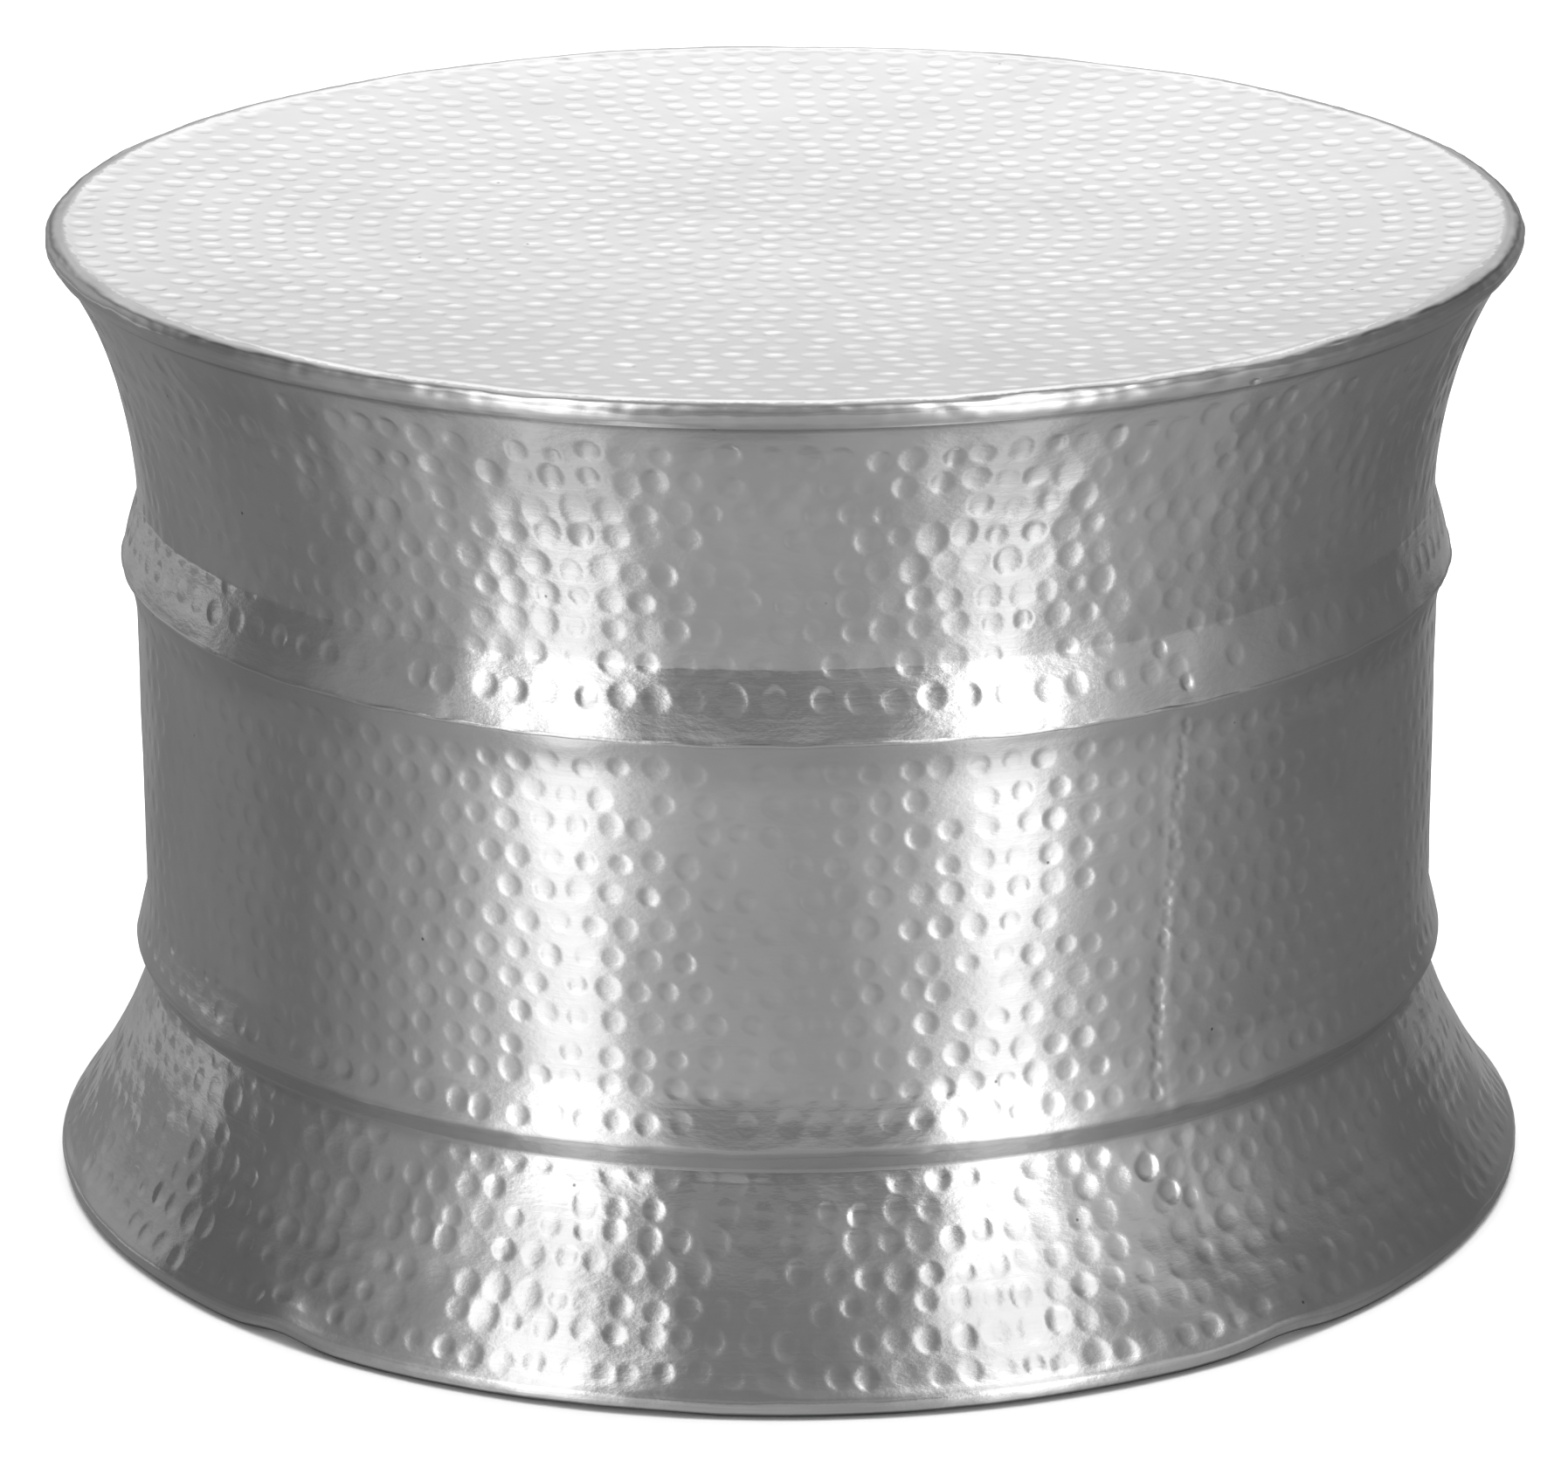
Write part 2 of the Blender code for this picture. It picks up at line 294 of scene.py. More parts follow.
class Sheet:
    """One sheet's path as arrays, with the relief of its outer face by row and column."""

    def __init__(self, path):
        points = np.array([point for point, _ in path])
        self.travel = np.array([direction for _, direction in path])
        self.normal = np.stack([-self.travel[:, 1], self.travel[:, 0]], -1)
        self.r, self.z = points.T
        self.along = np.concatenate([[0], np.cumsum(np.hypot(*np.diff(points, axis=0).T))])
        self.rows = len(path)
        self.relief = np.zeros((self.rows, COLUMNS))
        self.lift = np.zeros((self.rows, COLUMNS))
        self.az = np.arange(COLUMNS) / COLUMNS * 2 * math.pi

    def place(self, heights, first, last):
        """Lengths along the path at heights, on a stretch of it that runs down."""
        return np.interp(-np.asarray(heights), -self.z[first:last], self.along[first:last])

    def span(self, low, high, soft):
        """1 on the rows between two lengths, fading to 0 outside them."""
        rise = np.clip((self.along - low) / soft + 0.5, 0, 1)
        fall = np.clip((high - self.along) / soft + 0.5, 0, 1)
        return (rise * fall)[:, None]

    def noise(self, tall, wide, seed, lean=0.0):
        """Random unevenness of unit height, with lumps of given sizes in metres that may lean over."""
        white = np.random.default_rng(seed).normal(size=(self.rows, COLUMNS))
        up = np.fft.fftfreq(self.rows)[:, None] * tall / STEP
        around = np.fft.rfftfreq(COLUMNS)[None, :] * wide / (self.r.max() * 2 * math.pi / COLUMNS)
        keep = np.exp(-5 * (up ** 2 + around ** 2))
        soft = np.fft.irfft2(np.fft.rfft2(white) * keep, s=white.shape)
        shift = np.round(lean * self.along / (self.r.max() * 2 * math.pi / COLUMNS)).astype(int)
        columns = (np.arange(COLUMNS) + shift[:, None]) % COLUMNS
        return np.take_along_axis(soft, columns, axis=1) / soft.std()

    def press(self, dents, power=3.0):
        """Press round hollows. A dent is azimuth, place along, half width, half height, depth."""
        pitch = 2 * math.pi / COLUMNS
        for az, place, wide, tall, depth in dents:
            low, high = np.searchsorted(self.along, (place - tall, place + tall))
            if low == high:
                continue
            reach = min(COLUMNS // 2 - 1, int(wide / (self.r[low:high].min() * pitch)) + 2)
            cols = np.arange(-reach, reach + 1) + int(round(az / pitch))
            across = (cols * pitch - az) * self.r[low:high, None] / wide
            down = (self.along[low:high, None] - place) / tall
            lean = rng.normal(0, 0.22, 2)
            slant = np.clip(1 + lean[0] * across + lean[1] * down, 0.3, None)
            hollow = -depth * slant * np.clip(1 - np.hypot(across, down) ** power, 0, None)
            spot = np.ix_(np.arange(low, high), cols % COLUMNS)
            self.relief[spot] = np.minimum(self.relief[spot], hollow)

    def row_of_dents(self, place, depth, pitch, size, loose, skip, tall, vary, power):
        """One row of hammer dents round the table, set by eye and so a little uneven."""
        count = round(2 * math.pi * np.interp(place, self.along, self.r) / pitch)
        drift = np.cumsum(rng.normal(0, 0.06, count))
        drift -= np.linspace(0, drift[-1], count)
        start = rng.uniform(0, 1)
        sway = rng.uniform(0, 2 * math.pi, 3)
        dents = []
        for i in range(count):
            if rng.random() < skip:
                continue
            az = (i + start + drift[i] + rng.normal(0, 0.06)) / count * 2 * math.pi
            wave = np.sin(az * np.array([2, 5, 9]) + sway).sum() * loose * 0.4
            half = size / 2 * rng.normal(1, vary)
            strength = depth * np.clip(rng.normal(1, 3 * vary), 0.4, 1.6)
            offset = wave + rng.normal(0, loose * 0.45)
            dents.append((az, place + offset, half, half * rng.normal(tall, vary), strength))
        self.press(dents, power)

    def seam(self, start, end, start_az, end_az, size, depth):
        """Chain of small touching dents down an upright seam."""
        count = int(abs(end - start) / (size * 0.75))
        dents = []
        for i in range(count):
            share = (i + rng.uniform(-0.2, 0.2)) / count
            az = math.radians(start_az + (end_az - start_az) * share + rng.normal(0, 0.2))
            half = size / 2 * rng.uniform(0.6, 1.3)
            strength = depth * rng.uniform(0.4, 1.3)
            dents.append((az, start + (end - start) * share, half, half * 1.1, strength))
        self.press(dents)

    def fold(self, az, width, height):
        """Slight step in level across an upright seam, fading away from it."""
        apart = (self.az - az + math.pi) % (2 * math.pi) - math.pi
        return height * np.tanh(apart / (0.3 * width)) * np.exp(-((apart / width) ** 2))[None, :]

    def ripple(self, waves, seed):
        """Long smooth unevenness of unit height. A wave is turns round the table and rate by height."""
        local = np.random.default_rng(seed)
        total = np.zeros((self.rows, COLUMNS))
        for around, upward in waves:
            phase, lean = local.uniform(0, 2 * math.pi, 2)
            height = self.along[:, None] * upward
            total += np.sin(around * self.az + height + phase) * np.cos(0.5 * height + lean)
        return total / math.sqrt(len(waves))

    def bulge(self, levels):
        """Smooth outward offset of the rows, from offsets at some heights."""
        heights, offsets = zip(*levels)
        near = np.linspace(-1, 1, 9) * 0.008
        return np.mean([np.interp(self.z - WAIST_Z + step, heights, offsets) for step in near], axis=0)

    def inner_rows(self):
        """Rows of the inner face from the last to the first: sparse, and closer round bends."""
        kept = [self.rows - 1]
        for i in range(self.rows - 2, -1, -1):
            far = self.along[kept[-1]] - self.along[i] >= 0.0035
            turned = self.normal[kept[-1]] @ self.normal[i] < math.cos(math.radians(16))
            if far or turned or i == 0:
                kept.append(i)
        return kept

    def ring(self, i, out, beyond, columns):
        """Points of one ring, at a distance out from the middle surface and beyond along it."""
        skip = COLUMNS // columns
        az = self.az[::skip]
        level = np.broadcast_to(out, COLUMNS)[::skip]
        r = self.r[i] + self.normal[i, 0] * level + self.travel[i, 0] * beyond
        z = self.z[i] + self.normal[i, 1] * level + self.travel[i, 1] * beyond + self.lift[i, ::skip]
        return np.stack([r * np.sin(az), -r * np.cos(az), np.broadcast_to(z, az.shape)], -1)

    def edge_rings(self, i, columns):
        """Rings round the worn edge at the end of the sheet."""
        rings = []
        for angle in np.radians([25, 50, 70, 90]):
            out = self.relief[i] + SHEET / 2 - WORN * (1 - math.cos(angle))
            rings.append(self.ring(i, out, WORN * math.sin(angle), columns))
        return rings

    def rings(self, inner_share):
        """Rings down the outer face, round the edge and, at half the columns, up the inner face."""
        rings = [self.ring(i, self.relief[i] + SHEET / 2, 0.0, COLUMNS) for i in range(self.rows)]
        rings += self.edge_rings(self.rows - 1, COLUMNS)
        for i in self.inner_rows():
            rings.append(self.ring(i, self.relief[i] * inner_share[i] - SHEET / 2, 0.0, COLUMNS // 2))
        return rings


# Meshes

def strip(upper, lower, upper_count, lower_count):
    """Triangles between two rings of equal, double or single count."""
    few = min(upper_count, lower_count)
    many = max(upper_count, lower_count)
    j = np.arange(few)
    k = (j + 1) % few
    if upper_count == lower_count:
        fans = [(upper + j, lower + j, lower + k), (upper + j, lower + k, upper + k)]
    elif few == 1:
        j = np.arange(many)
        k = (j + 1) % many
        alone = np.full(many, upper if upper_count == 1 else lower)
        fans = [(alone, lower + j, lower + k) if upper_count == 1 else (upper + j, alone, upper + k)]
    else:
        a, b, c = 2 * j, 2 * j + 1, (2 * j + 2) % many
        if upper_count > lower_count:
            fans = [
                (upper + a, lower + j, upper + b),
                (upper + b, lower + j, lower + k),
                (upper + b, lower + k, upper + c),
            ]
        else:
            fans = [
                (upper + j, lower + a, lower + b),
                (upper + j, lower + b, upper + k),
                (upper + k, lower + b, lower + c),
            ]
    return np.concatenate([np.stack(fan, -1) for fan in fans])


def skin(name, rings, closed):
    """Smooth mesh over a run of rings, closed into a loop or ending on the axis."""
    starts = np.cumsum([0] + [len(ring) for ring in rings])
    pairs = [(i, (i + 1) % len(rings)) for i in range(len(rings) if closed else len(rings) - 1)]
    faces = [strip(starts[i], starts[n], len(rings[i]), len(rings[n])) for i, n in pairs]
    mesh = bpy.data.meshes.new(name)
    mesh.from_pydata(np.concatenate(rings), [], np.concatenate(faces))
    mesh.validate()
    mesh.shade_smooth()
    piece = bpy.data.objects.new(name, mesh)
    bpy.context.scene.collection.objects.link(piece)
    return piece


def make_upper_flare():
    """Trumpet section: irregular shallow dents, folds below the rim and a ragged lower edge."""
    sheet = Sheet(flare_path())
    top = int(np.argmax(sheet.r))
    place = lambda heights: sheet.place(heights, top, sheet.rows)
    rows = place(TOP_Z - 0.0230 - 0.0125 * np.arange(7))
    for row, depth in zip(rows[:4], (0.00033, 0.00032, 0.00030, 0.00029)):
        sheet.row_of_dents(row, depth, **RIM_DENTS)
    for row in rows[4:]:
        sheet.row_of_dents(row, 0.00027, **FLARE_DENTS)
    sheet.row_of_dents(place(WAIST_Z + 0.0015), 0.00023, size=0.0094, **BEAD_DENTS)
    sheet.row_of_dents(place(WAIST_Z - 0.0125), 0.00030, size=0.0102, **BEAD_DENTS)
    sheet.press([
        (math.radians(32.0), float(place(WAIST_Z - 0.0050)), 0.0036, 0.0040, 0.00040),
        (math.radians(34.2), float(place(WAIST_Z - 0.0190)), 0.0030, 0.0042, 0.00050),
        (math.radians(-8.0), float(place(TOP_Z - 0.0420)), 0.0055, 0.0011, 0.00016),
    ])
    shown = sheet.span(place(TOP_Z - 0.013), sheet.along[-1] + 1, 0.006)
    upper = sheet.span(place(TOP_Z - 0.013), place(TOP_Z - 0.062), 0.030)
    sheet.relief += 0.00012 * upper * sheet.noise(0.030, 0.011, 31)
    sheet.relief += 0.00009 * upper * sheet.noise(0.026, 0.008, 45, 0.45)
    sheet.relief += 0.00010 * sheet.noise(0.014, 0.016, 32)
    sheet.relief += sheet.bulge(SPREAD_OF_FLARE)[:, None]
    sheet.relief += 0.00022 * sheet.ripple([(9, 40), (17, -70), (26, 55), (38, 90)], 3)
    sheet.relief += sheet.fold(math.radians(35.0), 0.045, 0.00014)
    sheet.relief *= shown
    tail = sheet.span(sheet.along[-1] - 0.0015, sheet.along[-1] + 1, 0.003)
    sheet.lift += 0.00020 * tail * sheet.noise(10.0, 0.010, 33)
    ledge = np.interp(sheet.along[-1] - sheet.along, LEDGE_PLACES, LEDGE_LEVELS)[:, None]
    sheet.relief += ledge * np.clip(1 + 0.45 * sheet.noise(10.0, 0.008, 34), 0.2, 1.6)
    calm = 1 - sheet.span(sheet.along[-1] - 0.012, sheet.along[-1] + 1, 0.004)
    return skin("hammered_flare", sheet.rings(calm[:, 0]), True)


def make_mid_drum():
    """Straight section with even rows of dents and a long upright seam."""
    sheet = Sheet(drum_path())
    first = int(np.argmax(sheet.r[: sheet.rows // 3]))
    place = lambda heights: sheet.place(heights, first, sheet.rows)
    for row in place(LOWER_RIDGE_Z + 0.0100 + 0.0130 * np.arange(12)):
        sheet.row_of_dents(row, 0.00023, **DRUM_DENTS)
    start = place(UPPER_RIDGE_Z - 0.0066)
    end = place(LOWER_RIDGE_Z + 0.0025)
    sheet.seam(start, end, start_az=34.4, end_az=31.6, size=0.0052, depth=0.00030)
    shown = sheet.span(sheet.along[first] + 0.002, sheet.along[-1] + 1, 0.004)
    sheet.relief += 0.00018 * sheet.ripple([(7, 35), (15, -60), (23, 80), (34, -45)], 8)
    sheet.relief += 0.00007 * sheet.noise(0.014, 0.018, 35)
    sheet.relief += sheet.fold(math.radians(33.0), 0.028, 0.00022)
    sheet.relief *= shown
    tail = sheet.span(sheet.along[-1] - 0.005, sheet.along[-1] + 1, 0.008)
    sheet.lift += 0.00022 * tail * sheet.noise(10.0, 0.012, 36)
    sheet.relief += 0.00006 * tail * sheet.noise(0.004, 0.007, 44)
    calm = 1 - sheet.span(sheet.along[-1] - 0.014, sheet.along[-1] + 1, 0.004)
    return skin("hammered_drum", sheet.rings(calm[:, 0]), True)


def hem_waves(sheet):
    """Height by which the hand-made hem stands off the floor, round the table."""
    waves = HEM_UNEVENNESS * np.clip(sheet.noise(10.0, 0.045, 40)[-1], 0.0, 2.0)
    for az, width in KINKS:
        apart = (np.degrees(sheet.az) - az + 180) % 360 - 180
        waves += KINK_HEIGHT * np.exp(-((apart / width) ** 2))
    return waves


def make_base_wire():
    """Rod inside the rolled hem, which follows the hem's waves."""
    sheet = Sheet(skirt_path())
    lift = hem_waves(sheet)
    rings = []
    for angle in np.radians(90 - 360 * np.arange(ROD_SIDES) / ROD_SIDES):
        r = HEM_CENTER[0] + BASE_WIRE_RADIUS * math.cos(angle)
        z = HEM_CENTER[1] + BASE_WIRE_RADIUS * math.sin(angle) + lift
        ring = np.stack([r * np.sin(sheet.az), -r * np.cos(sheet.az), z], -1)
        rings.append(ring[:: COLUMNS // ROD_COLUMNS])
    return skin("hem_rod", rings, True)


def make_base_flare():
    """Skirt with deeper, taller dents and a smooth, slightly wavy hem."""
    sheet = Sheet(skirt_path())
    first = int(np.argmin(sheet.r[: sheet.rows // 3]))
    bottom = int(np.argmin(sheet.z))
    place = lambda heights: sheet.place(heights, first, bottom)
    for row in place(SKIRT_HEIGHT - 0.0720 + 0.0113 * np.arange(7)):
        sheet.row_of_dents(row, 0.00026, **SKIRT_DENTS)
    sheet.press([
        (math.radians(30.9), float(place(SKIRT_HEIGHT - 0.0130)), 0.0056, 0.0062, 0.00085),
        (math.radians(32.6), float(place(SKIRT_HEIGHT - 0.0240)), 0.0056, 0.0056, 0.00075),
    ])
    shown = sheet.span(sheet.along[first] + 0.003, place(0.0095), 0.004)
    sheet.relief += 0.00030 * sheet.ripple([(8, 50), (15, -80), (24, 60), (37, -95)], 12)
    sheet.relief += 0.00011 * sheet.noise(0.012, 0.016, 37)
    sheet.relief += sheet.fold(math.radians(35.3), 0.020, 0.00015)
    sheet.relief *= shown
    hem = sheet.span(place(0.0095), sheet.along[bottom] - 0.003, 0.004)
    sheet.relief += hem * (0.00012 * sheet.noise(0.008, 0.050, 38) + 0.00005 * sheet.noise(0.004, 0.008, 39))
    below = sheet.span(place(0.017), sheet.along[-1] + 1, 0.010)
    sheet.lift += below * hem_waves(sheet)
    calm = np.where(np.arange(sheet.rows) < first + 6, 0.0, 0.7)
    return skin("hammered_skirt", sheet.rings(calm), True)


def columns_at(radius):
    """Columns of a ring of the top, halved as the rings get smaller."""
    columns = COLUMNS
    while columns > FEWEST_COLUMNS and 2 * math.pi * radius / columns < CLOSEST_COLUMNS:
        columns //= 2
    return columns


def make_table_top():
    """Dish with rings of dents, and its rolled rim."""
    sheet = Sheet(top_path())
    sheet.along += STEP
    edge = int(np.argmin(np.abs(sheet.r - RIM_CENTER[0]) + (sheet.z < RIM_CENTER[1])))
    for ring in range(1, TOP_RINGS + 1):
        radius = RING_PITCH * ring
        pitch = 0.0128 + 0.0024 * radius / 0.28
        depth = 0.00038 if ring < TOP_RINGS else 0.00030
        sheet.row_of_dents(radius, depth, pitch, **TOP_DENTS)
    middle = np.clip(1 - (sheet.along / 0.0048) ** 2.5, 0, None)[:, None]
    sheet.relief = np.minimum(sheet.relief, -0.00035 * middle)
    pit = sheet.along[-1] - 0.0020
    sheet.press([(math.radians(36.0), pit, 0.0020, 0.0016, 0.0007)])
    flat = sheet.span(-1, sheet.along[edge] - 0.003, 0.004)
    away = (sheet.along > 0.02)[:, None]
    sheet.relief += 0.00010 * flat * away * sheet.ripple([(2, 30), (3, -45), (5, 60)], 22)
    rim = 1 - flat
    past = sheet.along - sheet.along[edge]
    near = np.linspace(-1, 1, 7) * 0.0007
    ridge = np.mean([np.interp(past + step, RIDGE_PLACES, RIDGE_LEVELS) for step in near], axis=0)
    sheet.relief += ridge[:, None]
    lumps = 0.00020 * sheet.noise(0.008, 0.022, 41) + 0.00009 * sheet.noise(0.004, 0.005, 42)
    lumps *= np.clip(sheet.normal[:, 0] / 0.5, 0.2, 1)[:, None]
    sheet.relief += rim * lumps * np.clip((sheet.along[-1] - sheet.along) / 0.006, 0.15, 1)[:, None]
    near_edge = sheet.span(sheet.along[edge] - 0.008, sheet.along[edge] + 0.0025, 0.005)
    sheet.lift += 0.00022 * near_edge * sheet.noise(10.0, 0.03, 43)
    rings = [np.array([[0.0, 0.0, sheet.z[0] + SHEET / 2 - 0.00035]])]
    for i in range(sheet.rows):
        rings.append(sheet.ring(i, sheet.relief[i] + SHEET / 2, 0.0, columns_at(sheet.along[i])))
    rings += sheet.edge_rings(sheet.rows - 1, COLUMNS)
    for i in sheet.inner_rows():
        columns = columns_at(sheet.along[i]) // 2
        rings.append(sheet.ring(i, sheet.relief[i] * flat[i] - SHEET / 2, 0.0, columns))
    rings.append(np.array([[0.0, 0.0, sheet.z[0] - SHEET / 2 - 0.0001]]))
    return skin("hammered_top", rings, False)


# Materials

def node_of(tree, kind, **values):
    """Node with some of its inputs set."""
    node = tree.nodes.new(kind)
    for key, value in values.items():
        node.inputs[key.replace("_", " ")].default_value = value
    return node


def pattern(tree, kind, output, stretch, **values):
    """Texture on the piece's own coordinates, drawn out along some axes."""
    coords = tree.nodes.new("ShaderNodeTexCoord")
    mapping = node_of(tree, "ShaderNodeMapping", Scale=stretch)
    texture = node_of(tree, kind, **values)
    tree.links.new(coords.outputs["Object"], mapping.inputs["Vector"])
    tree.links.new(mapping.outputs["Vector"], texture.inputs["Vector"])
    return texture.outputs[output]


def noise_of(tree, scale, stretch, detail, rough):
    """Noise pattern."""
    return pattern(tree, "ShaderNodeTexNoise", "Fac", stretch, Scale=scale, Detail=detail, Roughness=rough)


def spread(tree, value, low, high, start=0.3, end=0.7):
    """Value mapped from one range to another."""
    node = node_of(tree, "ShaderNodeMapRange", From_Min=start, From_Max=end, To_Min=low, To_Max=high)
    tree.links.new(value, node.inputs["Value"])
    return node.outputs["Result"]


def ramp(tree, value, stops):
    """Tones or colours along a value."""
    node = tree.nodes.new("ShaderNodeValToRGB")
    while len(node.color_ramp.elements) < len(stops):
        node.color_ramp.elements.new(1.0)
    for element, (place, tone) in zip(node.color_ramp.elements, stops):
        element.position = place
        element.color = (tone, tone, tone, 1.0) if isinstance(tone, float) else (*tone, 1.0)
    tree.links.new(value, node.inputs["Fac"])
    return node.outputs["Color"]


def bump(tree, value, strength, distance, after=None):
    """Fine relief from a value."""
    node = node_of(tree, "ShaderNodeBump", Strength=strength, Distance=distance)
    tree.links.new(value, node.inputs["Height"])
    if after is not None:
        tree.links.new(after, node.inputs["Normal"])
    return node.outputs["Normal"]


def calc(tree, operation, *values):
    """Math on sockets or numbers."""
    node = tree.nodes.new("ShaderNodeMath")
    node.operation = operation
    for socket, value in zip(node.inputs, values):
        if isinstance(value, (int, float)):
            socket.default_value = value
        else:
            tree.links.new(value, socket)
    return node.outputs[0]


def smooth(tree, value, low, high):
    """0 below one limit and 1 above another, smooth between them."""
    node = node_of(tree, "ShaderNodeMapRange", From_Min=low, From_Max=high)
    node.interpolation_type = "SMOOTHSTEP"
    tree.links.new(value, node.inputs["Value"])
    return node.outputs["Result"]


def scale_of(tree, value, low, high, stops):
    """Tones along a value that runs between two limits."""
    unit = spread(tree, value, 0.0, 1.0, low, high)
    return ramp(tree, unit, [((place - low) / (high - low), tone) for place, tone in stops])


def blend(tree, first, second, share):
    """One tone turning into another."""
    node = tree.nodes.new("ShaderNodeMix")
    tree.links.new(share, node.inputs["Factor"])
    tree.links.new(first, node.inputs["A"])
    tree.links.new(second, node.inputs["B"])
    return node.outputs["Result"]


def new_material(name):
    """Empty material with its shader."""
    material = bpy.data.materials.new(name)
    material.use_nodes = True
    return material, material.node_tree, material.node_tree.nodes["Principled BSDF"]


def rim_dark_band(tree, y, z, radius):
    """1 on a darker band on the top of the rim, with a ragged inner edge that reaches further in at the
    sides.
    """
    ragged = spread(tree, noise_of(tree, 130.0, (1, 1, 1), 4.0, 0.6), -0.0014, 0.0014)
    reach = scale_of(tree, y, -0.30, 0.30, [
        (-0.30, 0.12), (-0.25, 0.20), (-0.15, 1.0), (0.10, 1.0), (0.29, 0.55),
    ])
    past = calc(tree, "ADD", radius, calc(tree, "MULTIPLY", reach, 0.0042))
    dark_band = smooth(tree, calc(tree, "ADD", past, ragged), 0.2972, 0.2984)
    return calc(tree, "MULTIPLY", dark_band, smooth(tree, z, TOP_Z - 0.0015, TOP_Z - 0.0008))


def aluminium(name, tone, rough, stretch, line_strength, grain, painted_shade=None, rim=False):
    """Hand-polished aluminium: fine brushing, cloudy polish, specks, painted shade by height, a dull and
    darker rim top.
    """
    material, tree, shader = new_material(name)
    shader.inputs["Metallic"].default_value = 1.0
    cloud = noise_of(tree, 16.0, (1, 1, 1), 4.0, 0.6)
    spots = pattern(tree, "ShaderNodeTexVoronoi", "Distance", (1, 1, 1), Scale=48.0)
    chance = pattern(tree, "ShaderNodeTexVoronoi", "Color", (1, 1, 1), Scale=48.0)
    rare = calc(tree, "GREATER_THAN", chance, 0.66)
    speck = calc(tree, "MULTIPLY", spread(tree, spots, 1.0, 0.0, 0.018, 0.042), rare)
    clean = ramp(tree, cloud, [(0.30, tone * 0.94), (0.70, tone * 1.04)])
    specks_and_shade = calc(tree, "SUBTRACT", 1.0, calc(tree, "MULTIPLY", speck, 0.65))
    coords = tree.nodes.new("ShaderNodeTexCoord")
    split = tree.nodes.new("ShaderNodeSeparateXYZ")
    tree.links.new(coords.outputs["Object"], split.inputs["Vector"])
    x, y, z = split.outputs
    # Painted shade: darkening by height that stands in for shadow in grooves, under the rim lip and at the
    # foot.
    if painted_shade:
        specks_and_shade = calc(tree, "MULTIPLY", specks_and_shade, scale_of(tree, z, 0.0, TOP_Z, painted_shade))
    # Darker band on the top of the rim.
    if rim:
        square = calc(tree, "ADD", calc(tree, "MULTIPLY", x, x), calc(tree, "MULTIPLY", y, y))
        dark_band = rim_dark_band(tree, y, z, calc(tree, "SQRT", square))
        specks_and_shade = calc(tree, "MULTIPLY", specks_and_shade, spread(tree, dark_band, 1.0, 0.64, 0.0, 1.0))
    color = tree.nodes.new("ShaderNodeMix")
    color.data_type = "RGBA"
    color.blend_type = "MULTIPLY"
    color.inputs["Factor"].default_value = 1.0
    tree.links.new(clean, color.inputs["A"])
    tree.links.new(specks_and_shade, color.inputs["B"])
    tree.links.new(color.outputs["Result"], shader.inputs["Base Color"])
    lines = noise_of(tree, 1.0, stretch, 6.0, 0.7)
    polish = spread(tree, lines, rough * 0.8, rough * 1.25)
    if rim:
        polish = calc(tree, "ADD", polish, spread(tree, square, 0.0, 0.08, 0.2955 ** 2, 0.2985 ** 2))
    tree.links.new(polish, shader.inputs["Roughness"])
    pits = noise_of(tree, 500.0, (1, 1, 1), 2.0, 0.5)
    fine = bump(tree, pits, 0.06, 0.0002)
    patches = noise_of(tree, 190.0, (1.0, 1.0, 2.2), 3.0, 0.6)
    fine = bump(tree, patches, grain, 0.0003, fine)
    tree.links.new(bump(tree, lines, line_strength, 0.00006, fine), shader.inputs["Normal"])
    return material


def wire_steel():
    """Dull drawn steel wire."""
    material, tree, shader = new_material("wire_steel")
    shader.inputs["Metallic"].default_value = 1.0
    grain = noise_of(tree, 60.0, (1, 1, 1), 5.0, 0.6)
    tones = [(0.3, (0.32, 0.31, 0.30)), (0.7, (0.46, 0.45, 0.44))]
    tree.links.new(ramp(tree, grain, tones), shader.inputs["Base Color"])
    tree.links.new(spread(tree, grain, 0.35, 0.55), shader.inputs["Roughness"])
    tree.links.new(bump(tree, grain, 0.2, 0.0002), shader.inputs["Normal"])
    return material


# Studio

def mirror_of(tree):
    """Way that a mirror faces where it shows the camera this part of the room."""
    coords = tree.nodes.new("ShaderNodeTexCoord")
    half = tree.nodes.new("ShaderNodeVectorMath")
    half.operation = "SUBTRACT"
    half.inputs[1].default_value = (0.0, math.cos(VIEW_TILT), -math.sin(VIEW_TILT))
    tree.links.new(coords.outputs["Generated"], half.inputs[0])
    mirror = tree.nodes.new("ShaderNodeVectorMath")
    mirror.operation = "NORMALIZE"
    tree.links.new(half.outputs["Vector"], mirror.inputs[0])
    return mirror.outputs["Vector"]


